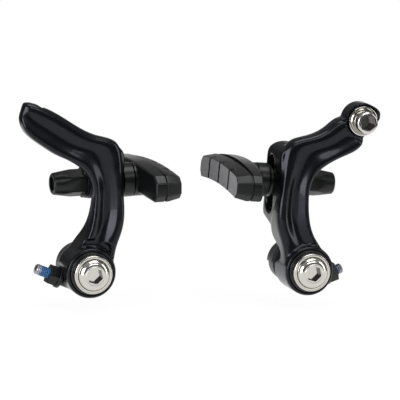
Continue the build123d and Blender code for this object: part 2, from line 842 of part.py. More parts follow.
def save_pivots():
    """Everything on the two bosses, and the spring that returns each arm."""
    save_pair(fixing_bolt(), "fixing_bolt")
    save_pair(fixing_washer(), "fixing_washer")
    save_pair(pivot_sleeve(), "pivot_sleeve")
    save_pair(pivot_bush(), "pivot_bush")
    save_pair(front_seal(), "front_seal")
    save_pair(spring_housing(), "spring_housing")
    save_pair(return_spring(), "return_spring")
    save_pair(lock_washer(), "lock_washer")
    save_pair(lock_nut(), "lock_nut")
    save(tension_screw(right_screw_reach), "right_tension_screw")
    save(mirror(tension_screw(left_screw_reach), about=Plane.YZ), "left_tension_screw")


def save_shoes():
    """The two shoes with their studs, ball washers and nuts."""
    save_pair(brake_block(), "brake_block")
    save_pair(pad_holder(), "pad_holder")
    save_pair(shoe_stud(), "shoe_stud")
    save_pair(dome_washer(-1, inner_ball_r, inner_dome_r), "inner_dome_washer")
    save_pair(dome_washer(1, outer_ball_r, outer_dome_r), "outer_dome_washer")
    save_pair(cup_washer(-1, inner_ball_r, inner_cup_r, inner_cup_rim, inner_stack), "inner_cup_washer")
    save_pair(cup_washer(1, outer_ball_r, outer_cup_r, outer_cup_rim, outer_stack), "outer_cup_washer")
    save_pair(flat_washer(), "flat_washer")
    save_pair(shoe_nut(), "shoe_nut")


os.makedirs("parts", exist_ok=True)
save(right_arm(), "right_arm")
save(mirror(left_arm(), about=Plane.YZ), "left_arm")
save(anchor_washer(), "anchor_washer")
save(anchor_bolt(), "anchor_bolt")
save_pivots()
save_shoes()
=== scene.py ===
"""Looks of a cantilever rim brake: enamelled arms, bright fixings, threaded screws, shoes and a studio."""

import json
import math

import bmesh
import bpy
from bpy.props import FloatProperty, FloatVectorProperty, IntProperty, PointerProperty
from mathutils import Matrix, Vector


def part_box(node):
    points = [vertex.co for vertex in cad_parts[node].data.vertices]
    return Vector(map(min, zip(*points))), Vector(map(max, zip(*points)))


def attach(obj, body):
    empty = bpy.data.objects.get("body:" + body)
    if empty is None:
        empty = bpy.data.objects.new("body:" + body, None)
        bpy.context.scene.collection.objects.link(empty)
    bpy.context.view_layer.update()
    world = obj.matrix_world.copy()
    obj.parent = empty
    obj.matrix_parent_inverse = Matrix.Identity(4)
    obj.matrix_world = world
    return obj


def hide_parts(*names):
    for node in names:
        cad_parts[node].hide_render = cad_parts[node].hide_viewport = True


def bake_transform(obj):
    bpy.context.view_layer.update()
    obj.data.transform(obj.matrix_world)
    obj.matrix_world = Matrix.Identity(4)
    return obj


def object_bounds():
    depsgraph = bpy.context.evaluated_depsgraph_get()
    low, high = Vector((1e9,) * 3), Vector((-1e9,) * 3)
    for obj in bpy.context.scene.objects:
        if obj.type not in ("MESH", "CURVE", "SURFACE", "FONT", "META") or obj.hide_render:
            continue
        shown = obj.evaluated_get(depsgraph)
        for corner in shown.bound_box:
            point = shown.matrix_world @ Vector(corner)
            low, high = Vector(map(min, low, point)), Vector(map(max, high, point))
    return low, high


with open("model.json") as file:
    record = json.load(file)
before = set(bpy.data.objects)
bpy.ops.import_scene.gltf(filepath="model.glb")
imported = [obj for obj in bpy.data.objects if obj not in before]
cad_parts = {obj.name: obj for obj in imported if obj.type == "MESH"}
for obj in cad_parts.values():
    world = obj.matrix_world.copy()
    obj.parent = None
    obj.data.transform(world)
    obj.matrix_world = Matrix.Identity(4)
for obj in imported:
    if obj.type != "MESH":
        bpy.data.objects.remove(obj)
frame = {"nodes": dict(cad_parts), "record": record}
cad_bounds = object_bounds()

bl_info = {
    "name": "Cantilever brake",
    "version": (1, 0, 0),
    "blender": (4, 5, 0),
    "location": "View3D > Sidebar > Brake",
    "description": "Dresses a cantilever brake with enamel, bright fixings, threads, shoes and a studio",
    "category": "Object",
}

MM = 0.001
SIDES = {"left": -1, "right": 1}
REAR = Vector((0, 1, 0))

# The brake's places and sizes, in millimetres and degrees.
BOSS_X = 40.0
WASHER_FACE_Y = -18.0
ANCHOR = (58.2, 53.2)
TOE = 2.4

# The tension screws: each leans out and up, and passes beside its boss.
SCREW_ANGLE = 20.6
SCREW_Y = -5.5
SCREW_OFFSET = 6.1
SCREW_R = 1.9
SCREW_START = 3.6
SCREW_END = {"left": 16.6, "right": 14.0}
SCREW_HOLE_R = 0.95
SCREW_HOLE_DEPTH = 3.2
SCREW_THREAD_DEPTH = 0.32
SCREW_CHAMFER = 0.4

# The M6 bolts. Walls within SOCKET_R of a bolt's axis are its socket's, and get painted shade.
BOLT_R = 3.0
BOLT_THREAD_DEPTH = 0.45
BOLT_CHAMFER = 0.6
FIXING_BOLT_END = 20.0
SOCKET_ACROSS = 5.0
SOCKET_R = 3.0
HEAD_ROUNDING = 0.1

# The studio, in metres.
CENTRE = Vector((0.0003, -0.008, 0.0245))
FLOOR_DROP = 0.005
FLOOR_WIDE = 0.26
FLOOR_DEEP = 0.25
FLOOR_FORWARD = 0.03
FLOOR_CORNERS = 96
FLOOR_GLOW = 1.04
FLOOR_GLOW_SHARE = 0.92
BACKDROP_WAY = (0.29, 0.94, -0.17)

BODY_OF = {node: body for body, nodes in frame["record"]["behaviour"]["bodies"].items() for node in nodes}


def linear(code):
    """The linear colour of an sRGB hex value."""
    parts = [int(code[i:i + 2], 16) / 255 for i in (0, 2, 4)]
    return [c / 12.92 if c <= 0.04045 else ((c + 0.055) / 1.055) ** 2.4 for c in parts] + [1.0]


def per_metre(size_mm):
    """The texture scale at which one feature measures that many millimetres."""
    return 1.0 / (size_mm * MM)


# ---- settings

class EnamelSettings(bpy.types.PropertyGroup):
    low_colour: FloatVectorProperty(
        name="Enamel in dips", description="Colour of the arms' enamel in the forging's dips",
        subtype="COLOR", size=4, min=0, max=1, default=linear("08090a"))
    high_colour: FloatVectorProperty(
        name="Enamel on rises", description="Colour of the arms' enamel on the forging's rises",
        subtype="COLOR", size=4, min=0, max=1, default=linear("0d0e11"))
    voxel: FloatProperty(
        name="Forging grid", description="Grid of the arms' skin, which sets how sharp their edges stay",
        default=0.32 * MM, min=0.3 * MM, max=1.0 * MM, precision=5, unit="LENGTH")
    passes: IntProperty(
        name="Smoothing passes", description="How often the arms' skin is smoothed",
        default=30, min=2, max=40)


class ThreadSettings(bpy.types.PropertyGroup):
    screw_pitch: FloatProperty(
        name="Tension screw pitch", description="Distance between the turns of the tension screws' threads",
        default=0.7 * MM, min=0.4 * MM, max=1.2 * MM, precision=5, unit="LENGTH")
    bolt_pitch: FloatProperty(
        name="Bolt pitch", description="Distance between the turns of the threads on the bolts",
        default=1.0 * MM, min=0.5 * MM, max=1.5 * MM, precision=5, unit="LENGTH")
    locking_colour: FloatVectorProperty(
        name="Locking patch", description="Colour of the locking patch on the tension screws",
        subtype="COLOR", size=4, min=0, max=1, default=linear("2a5f8f"))


class ShoeSettings(bpy.types.PropertyGroup):
    face_colour: FloatVectorProperty(
        name="Friction face", description="Colour of the rubber's ground friction face",
        subtype="COLOR", size=4, min=0, max=1, default=linear("868688"))
    side_colour: FloatVectorProperty(
        name="Block sides", description="Colour of the rubber's moulded sides",
        subtype="COLOR", size=4, min=0, max=1, default=linear("0c0d0f"))
    holder_colour: FloatVectorProperty(
        name="Pad holder", description="Colour of the enamel on the pad holders",
        subtype="COLOR", size=4, min=0, max=1, default=linear("0c0d0f"))


class StudioSettings(bpy.types.PropertyGroup):
    floor_colour: FloatVectorProperty(
        name="Floor", description="Colour of the floor",
        subtype="COLOR", size=4, min=0, max=1, default=(0.8, 0.8, 0.8, 1.0))
    distance: FloatProperty(
        name="Distance", description="How far the camera stands from the brake",
        default=1.2, min=0.5, max=5.0, unit="LENGTH")
    azimuth: FloatProperty(
        name="Azimuth", description="How far the camera stands to the left of the front",
        default=math.radians(17.7), subtype="ANGLE")
    elevation: FloatProperty(
        name="Elevation", description="How far the camera stands above the horizon",
        default=math.radians(9.64), subtype="ANGLE")
    roll: FloatProperty(
        name="Roll", description="How far the camera is rolled about its line of sight",
        default=math.radians(2.81), subtype="ANGLE")
    lens: FloatProperty(
        name="Lens", description="Focal length of the camera in millimetres",
        default=307.8, min=20, max=600)
    key_power: FloatProperty(
        name="Key light", description="Power of the large softbox at the left",
        default=13.0, min=0, max=100, unit="POWER")
    top_power: FloatProperty(
        name="Top light", description="Power of the softbox above the brake",
        default=7.0, min=0, max=100, unit="POWER")
    fill_power: FloatProperty(
        name="Fill light", description="Power of the tall softbox at the right",
        default=4.0, min=0, max=100, unit="POWER")
    front_power: FloatProperty(
        name="Front light", description="Power of the broad, low softbox above the camera",
        default=5.0, min=0, max=100, unit="POWER")
    ceiling: FloatProperty(
        name="Ceiling", description="Strength of the room's light from above",
        default=0.35, min=0, max=2)
    wall: FloatProperty(
        name="Walls", description="Strength of the room's light from the sides",
        default=0.06, min=0, max=2)


# ---- materials

def add_node(tree, kind, inputs=None, **settings):
    """A new shader node with its settings made and its inputs set or linked."""
    node = tree.nodes.new(kind)
    for name, value in settings.items():
        setattr(node, name, value)
    for name, value in (inputs or {}).items():
        if isinstance(value, bpy.types.NodeSocket):
            tree.links.new(value, node.inputs[name])
        else:
            node.inputs[name].default_value = value
    return node


def combine(tree, operation, first, second=0.0):
    """The result of a maths node."""
    return add_node(tree, "ShaderNodeMath", {0: first, 1: second}, operation=operation).outputs[0]


def stretch(tree, value, low, high, start=0.0, end=1.0):
    """The value with its range from low to high stretched to start to end, and held beyond both."""
    return add_node(tree, "ShaderNodeMapRange", {
        "Value": value, "From Min": low, "From Max": high, "To Min": start, "To Max": end}).outputs["Result"]


def reach_along(tree, vector, way):
    """How far a vector reaches along a direction."""
    return add_node(tree, "ShaderNodeVectorMath", {
        0: vector, 1: way}, operation="DOT_PRODUCT").outputs["Value"]


def shade_between(tree, share, first, second):
    """The colour that lies that share of the way from the first to the second."""
    return add_node(tree, "ShaderNodeMix", {0: share, 6: first, 7: second}, data_type="RGBA").outputs[2]


def new_finish(name, shader):
    """A material with only its shader, which gets those inputs, and the tree and shader to build on."""
    material = bpy.data.materials.new(name)
    material.use_nodes = True
    tree = material.node_tree
    tree.nodes.clear()
    surface = add_node(tree, "ShaderNodeBsdfPrincipled", shader)
    add_node(tree, "ShaderNodeOutputMaterial", {"Surface": surface.outputs["BSDF"]})
    return material, tree, surface


def raise_grain(tree, surface, layers, depth_mm, coat=False):
    """Bump made of noise layers, each (size in mm, share), up to that depth."""
    place = add_node(tree, "ShaderNodeTexCoord")
    height = None
    for size, share in layers:
        noise = add_node(tree, "ShaderNodeTexNoise", {
            "Vector": place.outputs["Object"], "Scale": per_metre(size), "Detail": 2.0, "Roughness": 0.5})
        part = combine(tree, "MULTIPLY", noise.outputs["Fac"], share)
        height = part if height is None else combine(tree, "ADD", part, height)
    bump = add_node(tree, "ShaderNodeBump", {"Height": height, "Distance": depth_mm * MM, "Strength": 1.0})
    tree.links.new(bump.outputs["Normal"], surface.inputs["Normal"])
    if coat:
        tree.links.new(bump.outputs["Normal"], surface.inputs["Coat Normal"])
    return height


def tint_by(tree, surface, height, dark, light):
    """The colour wanders between two shades with the grain's height."""
    shade = shade_between(tree, stretch(tree, height, 0.35, 0.65), dark, light)
    tree.links.new(shade, surface.inputs["Base Color"])


def forged_enamel(settings):
    """Gloss black enamel on forged aluminium."""
    # A wet, deep black: sharp bright reflections that the forging underneath ripples a little.
    material, tree, surface = new_finish("black_enamel_on_forged_aluminium", {
        "Roughness": 0.24, "Specular IOR Level": 0.28, "Specular Tint": linear("d8ddf2"),
        "Coat Weight": 0.16, "Coat Roughness": 0.05, "Coat IOR": 1.5})
    height = raise_grain(tree, surface, ((4.0, 0.8), (0.9, 0.12)), 0.03, coat=True)
    tint_by(tree, surface, height, settings.low_colour, settings.high_colour)
    return material


def holder_enamel(settings):
    """Semi-gloss black powder coat on the die-cast pad holders."""
    # The powder flows out less evenly than wet enamel: softer highlights and a fine orange peel.
    material, tree, surface = new_finish("black_powder_coat_on_die_casting", {
        "Base Color": settings.holder_colour, "Roughness": 0.34, "Specular IOR Level": 0.25,
        "Coat Weight": 0.15, "Coat Roughness": 0.14})
    raise_grain(tree, surface, ((1.6, 0.5), (0.45, 0.3)), 0.035)
    return material


def turned_stainless(name, x, z):
    """Polished stainless steel turned about an upright face's axis at that x and z, in millimetres."""
    # Turning leaves rings too fine to see one by one, which draw a reflection out across them. They are
    # drawn 0.5 mm apart so that they show. The socket's walls are darkened as painted shade in the recess.
    ring_spacing = 0.5
    wave_length = math.tau / 20
    material, tree, surface = new_finish(name, {"Metallic": 1.0, "Anisotropic": 0.35})
    place = add_node(tree, "ShaderNodeTexCoord")
    about = add_node(tree, "ShaderNodeMapping", {
        "Vector": place.outputs["Object"], "Location": (-x * MM, 0, -z * MM), "Scale": (1, 0, 1)})
    reach = add_node(tree, "ShaderNodeVectorMath", {0: about.outputs["Vector"]}, operation="LENGTH")
    # Sideways-facing walls inside the socket's radius get a darker colour: painted shade, not a real stain.
    inside = stretch(tree, reach.outputs["Value"], SOCKET_R * MM, (SOCKET_R - 0.15) * MM)
    facing = combine(tree, "ABSOLUTE", reach_along(tree, place.outputs["Normal"], REAR))
    painted_socket_shade = combine(tree, "MULTIPLY", inside, stretch(tree, facing, 0.8, 0.3))
    colour = shade_between(tree, painted_socket_shade, linear("cfccc6"), linear("4a4744"))
    tree.links.new(colour, surface.inputs["Base Color"])
    rings = add_node(tree, "ShaderNodeTexWave", {
        "Vector": about.outputs["Vector"], "Scale": wave_length * per_metre(ring_spacing),
        "Distortion": 0.6, "Detail": 1.0}, wave_type="RINGS", rings_direction="Y")
    bump = add_node(tree, "ShaderNodeBump", {
        "Height": rings.outputs["Fac"], "Distance": 0.0005 * MM, "Strength": 0.6})
    tree.links.new(bump.outputs["Normal"], surface.inputs["Normal"])
    lay = add_node(tree, "ShaderNodeTangent", direction_type="RADIAL", axis="Y")
    tree.links.new(lay.outputs["Tangent"], surface.inputs["Tangent"])
    smudge = add_node(tree, "ShaderNodeTexNoise", {
        "Vector": place.outputs["Object"], "Scale": per_metre(3.0), "Detail": 3.0})
    rough = stretch(tree, smudge.outputs["Fac"], 0.3, 0.7, 0.09, 0.18)
    tree.links.new(rough, surface.inputs["Roughness"])
    return material


def zinc_plate():
    """Zinc plated steel of the studs and the pivot sleeves."""
    # Plating is a little cloudy, with the blue cast of a passivated zinc.
    material, tree, surface = new_finish("zinc_plated_steel", {"Metallic": 1.0, "Roughness": 0.3})
    height = raise_grain(tree, surface, ((0.7, 0.6), (0.2, 0.3)), 0.01)
    tint_by(tree, surface, height, linear("8f939a"), linear("b3b7bd"))
    return material


def patched_zinc(side, way, end, settings):
    """Zinc plated steel with a blue nylon locking patch round the thread, short of the screw's end."""
    # The patch is sprayed nylon: matt, a little uneven, and faded out towards the end of the thread.
    fade_from, fade_to = (end - 0.9) * MM, (end - 2.4) * MM
    material, tree, surface = new_finish(f"zinc_with_nylon_patch_{side}", {})
    place = add_node(tree, "ShaderNodeTexCoord")
    spot = add_node(tree, "ShaderNodeTexNoise", {
        "Vector": place.outputs["Object"], "Scale": per_metre(0.9), "Detail": 2.0})
    boss = Vector((SIDES[side] * BOSS_X, SCREW_Y, 0)) * MM
    from_boss = add_node(tree, "ShaderNodeVectorMath", {
        0: place.outputs["Object"], 1: boss}, operation="SUBTRACT").outputs[0]
    near = stretch(tree, reach_along(tree, from_boss, way), fade_from, fade_to)
    patch = stretch(tree, combine(tree, "ADD", near, spot.outputs["Fac"]), 0.85, 1.15)
    colour = shade_between(tree, patch, linear("a7abb2"), settings.locking_colour)
    tree.links.new(colour, surface.inputs["Base Color"])
    tree.links.new(combine(tree, "SUBTRACT", 1.0, patch), surface.inputs["Metallic"])
    tree.links.new(stretch(tree, patch, 0.0, 1.0, 0.3, 0.6), surface.inputs["Roughness"])
    return material


def black_oxide():
    """Oil-blackened machined steel of the nuts and washers."""
    # Black oxide keeps the machined facets crisp: a dark satin with a soft sheen on each flat.
    material, tree, surface = new_finish("black_oxide_on_machined_steel", {
        "Roughness": 0.33, "Specular IOR Level": 0.35})
    height = raise_grain(tree, surface, ((0.5, 0.4), (0.15, 0.3)), 0.012)
    tint_by(tree, surface, height, linear("0a0b0d"), linear("111215"))
    return material


def brake_rubber(side, settings):
    """Ground friction face and moulded sides of a brake block."""
    # The face is ground, so it is paler and dead matt. The sides keep the mould's dull gloss.
    toe = math.radians(TOE)
    towards_rim = Vector((-SIDES[side] * math.cos(toe), math.sin(toe), 0))
    material, tree, surface = new_finish(f"brake_rubber_{side}", {"IOR": 1.5, "Specular IOR Level": 0.35})
    place = add_node(tree, "ShaderNodeTexCoord")
    face = stretch(tree, reach_along(tree, place.outputs["Normal"], towards_rim), 0.75, 0.93)
    height = raise_grain(tree, surface, ((0.9, 0.45), (0.25, 0.45)), 0.03)
    mottled = add_node(tree, "ShaderNodeVectorMath", {
        0: shade_between(tree, face, settings.side_colour, settings.face_colour),
        "Scale": stretch(tree, height, 0.3, 0.6, 0.86, 1.08)}, operation="SCALE")
    tree.links.new(mottled.outputs[0], surface.inputs["Base Color"])
    tree.links.new(stretch(tree, face, 0.0, 1.0, 0.42, 0.85), surface.inputs["Roughness"])
    return material


def moulded_plastic(name, code, roughness):
    """Injection moulded plastic, satin from the mould's fine texture."""
    # Spark-eroded moulds leave an even fine grain that breaks the highlight up.
    material, tree, surface = new_finish(name, {
        "Base Color": linear(code), "Roughness": roughness, "IOR": 1.53})
    raise_grain(tree, surface, ((0.35, 0.6), (1.2, 0.2)), 0.02)
    return material


def sintered_bronze():
    """Oil-soaked sintered bronze of the plain bushes."""
    # Pressed powder keeps tiny pores, so it glints in specks under the oil.
    material, tree, surface = new_finish("sintered_bronze", {"Metallic": 1.0, "Roughness": 0.42})
    height = raise_grain(tree, surface, ((0.2, 0.7), (0.6, 0.3)), 0.02)
    tint_by(tree, surface, height, linear("7d5628"), linear("b98a4c"))
    return material


def spring_wire():
    """Oil-tempered spring wire."""
    # Tempering leaves a dark scale on the drawn wire, a little mottled where the oil has burnt off.
    material, tree, surface = new_finish("oil_tempered_spring_wire", {"Metallic": 1.0, "Roughness": 0.36})
    height = raise_grain(tree, surface, ((0.3, 0.5), (0.9, 0.4)), 0.01)
    tint_by(tree, surface, height, linear("3a3b3f"), linear("5c5d62"))
    return material


# ---- meshes

def new_piece(name, mesh):
    """An object for that mesh in the scene."""
    piece = bpy.data.objects.new(name, mesh)
    bpy.context.scene.collection.objects.link(piece)
    return piece


def baked(piece):
    """The piece with its modifiers made part of its mesh."""
    done = bpy.data.meshes.new_from_object(piece.evaluated_get(bpy.context.evaluated_depsgraph_get()))
    piece.modifiers.clear()
    piece.data = done
    return piece


def solid_copy(node, name):
    """A piece with a CAD node's shape, its points joined and its flat faces made whole."""
    source = frame["nodes"][node].data
    work = bmesh.new()
    points = [work.verts.new(point.co) for point in source.vertices]
    for face in source.polygons:
        work.faces.new([points[i] for i in face.vertices])
    bmesh.ops.remove_doubles(work, verts=work.verts, dist=0.002 * MM)
    bmesh.ops.dissolve_limit(work, angle_limit=math.radians(0.4), verts=work.verts, edges=work.edges)
    mesh = bpy.data.meshes.new(name)
    work.to_mesh(mesh)
    work.free()
    return new_piece(name, mesh)


def ease_edges(piece, width_mm, sharp=32):
    """Rounds the sharp edges by that width and shades the rest smooth."""
    piece.data.shade_smooth()
    bevel = piece.modifiers.new("eased_edges", "BEVEL")
    bevel.width = width_mm * MM
    bevel.segments = 2
    bevel.limit_method = "ANGLE"
    bevel.angle_limit = math.radians(sharp)
    bevel.harden_normals = True
    return baked(piece)


def forged_skin(piece, settings):
    """The piece with its edges and joins run together, as forging and enamel leave them."""
    grid = piece.modifiers.new("grid", "REMESH")
    grid.mode = "VOXEL"
    grid.voxel_size = settings.voxel
    grid.use_smooth_shade = True
    flow = piece.modifiers.new("flow", "SMOOTH")
    flow.factor = 0.5
    flow.iterations = settings.passes
    return baked(piece)


def spun(name, rings, origin, way, segments):
    """A surface round an axis through origin along way.
    A ring is (how far along, radius). The radius may be a function of the turn, and 0 is a point."""
    way = way.normalized()
    side = way.orthogonal().normalized()
    up = way.cross(side)
    work = bmesh.new()
    loops = []
    for along, radius in rings:
        if radius == 0:
            loops.append([work.verts.new(origin + way * along)])
            continue
        loop = []
        for i in range(segments):
            turn = i / segments
            reach = radius(turn) if callable(radius) else radius
            spoke = side * math.cos(turn * math.tau) + up * math.sin(turn * math.tau)
            loop.append(work.verts.new(origin + way * along + spoke * reach))
        loops.append(loop)
    for low, high in zip(loops, loops[1:]):
        for i in range(segments):
            j = (i + 1) % segments
            if len(low) == 1:
                work.faces.new((low[0], high[j], high[i]))
            elif len(high) == 1:
                work.faces.new((low[i], low[j], high[0]))
            else:
                work.faces.new((low[i], low[j], high[j], high[i]))
    bmesh.ops.recalc_face_normals(work, faces=work.faces)
    mesh = bpy.data.meshes.new(name)
    work.to_mesh(mesh)
    work.free()
    return new_piece(name, mesh)


def joined(piece):
    """Joins the piece's first and last rings where they meet."""
    work = bmesh.new()
    work.from_mesh(piece.data)
    bmesh.ops.remove_doubles(work, verts=work.verts, dist=0.001 * MM)
    bmesh.ops.recalc_face_normals(work, faces=work.faces)
    work.to_mesh(piece.data)
    work.free()
    return piece


def in_metres(rings):
    """Rings given in millimetres, as spun takes them."""
    return [(along * MM, radius * MM) for along, radius in rings]


def creased(piece, sharp):
    """The piece shaded smooth, apart from edges that turn by more than that many degrees."""
    piece.data.shade_smooth()
    piece.data.set_sharp_from_angle(angle=math.radians(sharp))
    return piece


def thread_rings(start, end, major_r, pitch, depth, chamfer):
    """Rings of a thread between two places along a rod, with a chamfer at both ends."""
    rings_per_turn = 8
    flank_slope = 1.25
    steps = max(2, round((end - start) / (pitch / rings_per_turn)))
    rings = []
    for i in range(steps + 1):
        along = start + (end - start) * i / steps
        room = min(along - start, end - along) + (major_r - chamfer)

        def radius(turn, along=along, room=room):
            phase = (along / pitch - turn) % 1.0
            crest = min(1.0, abs(2 * phase - 1) * flank_slope)
            return min(major_r - depth * (1 - crest), room)

        rings.append((along, radius))
    return rings


def bolt_thread(start, end, pitch):
    """Rings of a bolt's thread, closed at its end."""
    rings = thread_rings(start, end, BOLT_R * MM, pitch, BOLT_THREAD_DEPTH * MM, BOLT_CHAMFER * MM)
    return rings + [(end, 0)]


def hex_socket(piece, origin, way, across, depth):
    """Cuts a hexagonal socket into the piece, from origin along way."""
    side = way.orthogonal().normalized()
    up = way.cross(side)
    reach = across / 2 / math.cos(math.pi / 6)
    work = bmesh.new()
    corners = [origin + (side * math.cos(a) + up * math.sin(a)) * reach
               for a in (i * math.pi / 3 for i in range(6))]
    low = [work.verts.new(corner - way * MM) for corner in corners]
    high = [work.verts.new(corner + way * depth) for corner in corners]
    work.faces.new(low)
    work.faces.new(high)
    for i in range(6):
        j = (i + 1) % 6
        work.faces.new((low[i], low[j], high[j], high[i]))
    bmesh.ops.recalc_face_normals(work, faces=work.faces)
    mesh = bpy.data.meshes.new("socket")
    work.to_mesh(mesh)
    work.free()
    cutter = new_piece("socket", mesh)
    cut = piece.modifiers.new("socket", "BOOLEAN")
    cut.operation = "DIFFERENCE"
    cut.solver = "EXACT"
    cut.object = cutter
    baked(piece)
    bpy.data.objects.remove(cutter)


def painted(piece, material):
    """The piece with that material alone."""
    piece.data.materials.clear()
    piece.data.materials.append(material)
    return piece


def fit(piece, node, material):
    """Puts the piece in a CAD node's place, with a material."""
    painted(piece, material)
    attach(piece, BODY_OF[node])
    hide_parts(node)


def eased(node, material, width_mm, sharp=32):
    """Puts a copy of a CAD node with rounded edges in its place, with a material."""
    fit(ease_edges(solid_copy(node, f"{node}_eased"), width_mm, sharp), node, material)


# ---- operators

class BRAKE_OT_arms(bpy.types.Operator):
    """Dress both arms in gloss enamel over a forged skin"""
    bl_idname = "brake.arms"
    bl_label = "Arms"

    def execute(self, context):
        settings = context.scene.brake_enamel
        material = forged_enamel(settings)
        for side in SIDES:
            node = f"{side}_arm"
            fit(forged_skin(solid_copy(node, f"{node}_forging"), settings), node, material)
        return {"FINISHED"}


class BRAKE_OT_pivots(bpy.types.Operator):
    """Make the fixing bolts and washers, and dress the seals, bushes and sleeves on the two bosses"""
    bl_idname = "brake.pivots"
    bl_label = "Pivots"

    def execute(self, context):
        seal = moulded_plastic("black_acetal_seal", "0e0f11", 0.3)
        bronze = sintered_bronze()
        zinc = zinc_plate()
        for side, sign in SIDES.items():
            face = Vector((sign * BOSS_X, WASHER_FACE_Y, 0)) * MM
            bright = turned_stainless(f"polished_stainless_{side}", sign * BOSS_X, 0)
            self.bolt(side, face, context.scene.brake_thread.bolt_pitch, bright)
            self.washer(side, face, bright)
            eased(f"{side}_front_seal", seal, 0.15)
            eased(f"{side}_pivot_bush", bronze, 0.1)
            eased(f"{side}_pivot_sleeve", zinc, 0.1)
        return {"FINISHED"}

    def bolt(self, side, face, pitch, material):
        """The button head with its socket, and the threaded shank."""
        crown, shoulder, base, thread = -1.9, 0.1, 0.7, 2.3
        head_r, dome_r, neck_r = 5.5, 2.74, 2.8
        dome_turn, steps = 74, 12
        socket_depth = 2.4
        rings = [(crown, 0), (crown, 3.0), (crown, 3.2), (crown + 0.12, 3.28)]
        for i in range(steps + 1):
            angle = math.radians(dome_turn - dome_turn * i / steps)
            along = shoulder + (crown - shoulder) * math.sin(angle)
            rings.append((along, head_r - dome_r + dome_r * math.cos(angle)))
        rings += [(base - 0.15, head_r), (base, head_r - 0.15), (base, neck_r), (thread, neck_r)]
        rings = in_metres(rings) + bolt_thread(thread * MM, FIXING_BOLT_END * MM, pitch)
        bolt = spun(f"{side}_button_bolt", rings, face, REAR, 96)
        hex_socket(bolt, face + REAR * crown * MM, REAR, SOCKET_ACROSS * MM, socket_depth * MM)
        fit(ease_edges(bolt, HEAD_ROUNDING, 40), f"{side}_fixing_bolt", material)

    def washer(self, side, face, material):
        """The dished washer, with a fine groove turned in its rim."""
        rings = [(0.7, 3.2), (0.7, 5.35), (0.55, 5.5), (0.12, 5.62), (0.0, 5.75), (0.0, 6.15),
                 (0.14, 6.2), (0.14, 6.3), (0.0, 6.35), (0.02, 6.5), (0.12, 6.67), (0.3, 6.75),
                 (1.7, 6.75), (1.8, 6.65), (1.8, 3.2), (0.7, 3.2)]
        washer = spun(f"{side}_dished_washer", in_metres(rings), face, REAR, 128)
        fit(creased(joined(washer), 40), f"{side}_fixing_washer", material)


class BRAKE_OT_springs(bpy.types.Operator):
    """Dress the spring housings and springs, and cut the threads of the tension screws"""
    bl_idname = "brake.springs"
    bl_label = "Springs"

    def execute(self, context):
        threads = context.scene.brake_thread
        nylon = moulded_plastic("grey_nylon_housing", "3b3c3f", 0.42)
        wire = spring_wire()
        oxide = black_oxide()
        for side, sign in SIDES.items():
            eased(f"{side}_spring_housing", nylon, 0.25)
            self.spring(side, sign, wire)
            eased(f"{side}_lock_washer", oxide, 0.12)
            eased(f"{side}_lock_nut", oxide, 0.2)
            self.screw(side, sign, threads)
        return {"FINISHED"}

    def spring(self, side, sign, material):
        """The coil spring: a smoothed copy of the CAD spring, left in its place at rest on no body."""
        node = f"{side}_return_spring"
        spring = painted(solid_copy(node, f"{side}_torsion_spring"), material)
        spring.data.shade_smooth()
        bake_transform(spring)
        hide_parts(node)

    def screw(self, side, sign, threads):
        """The threaded screw, drilled for the spring at its inner end."""
        lean = math.radians(SCREW_ANGLE)
        way = Vector((sign * math.cos(lean), 0, math.sin(lean)))
        beside = Vector((sign * math.sin(lean), 0, -math.cos(lean))) * SCREW_OFFSET
        origin = (Vector((sign * BOSS_X, SCREW_Y, 0)) + beside) * MM
        end = SCREW_END[side]
        hole_floor = SCREW_START + SCREW_HOLE_DEPTH
        rings = in_metres([(hole_floor, 0), (hole_floor, SCREW_HOLE_R), (SCREW_START, SCREW_HOLE_R)])
        rings += thread_rings(SCREW_START * MM, end * MM, SCREW_R * MM, threads.screw_pitch,
                              SCREW_THREAD_DEPTH * MM, SCREW_CHAMFER * MM)
        rings.append((end * MM, 0))
        screw = creased(spun(f"{side}_threaded_screw", rings, origin, way, 40), 50)
        fit(screw, f"{side}_tension_screw", patched_zinc(side, way, end, threads))


class BRAKE_OT_shoes(bpy.types.Operator):
    """Dress the brake blocks and their holders"""
    bl_idname = "brake.shoes"
    bl_label = "Shoes"

    def execute(self, context):
        settings = context.scene.brake_shoe
        coat = holder_enamel(settings)
        for side in SIDES:
            eased(f"{side}_brake_block", brake_rubber(side, settings), 0.45)
            eased(f"{side}_pad_holder", coat, 0.5, 25)
        return {"FINISHED"}


class BRAKE_OT_shoe_fixings(bpy.types.Operator):
    """Dress the shoe studs, washers and long nuts"""
    bl_idname = "brake.shoe_fixings"
    bl_label = "Shoe fixings"

    def execute(self, context):
        oxide = black_oxide()
        zinc = zinc_plate()
        for side in SIDES:
            for part in ("inner_dome_washer", "inner_cup_washer", "outer_dome_washer", "outer_cup_washer"):
                eased(f"{side}_{part}", oxide, 0.12)
            eased(f"{side}_flat_washer", oxide, 0.1)
            eased(f"{side}_shoe_nut", oxide, 0.22, 25)
            eased(f"{side}_shoe_stud", zinc, 0.1)
        return {"FINISHED"}


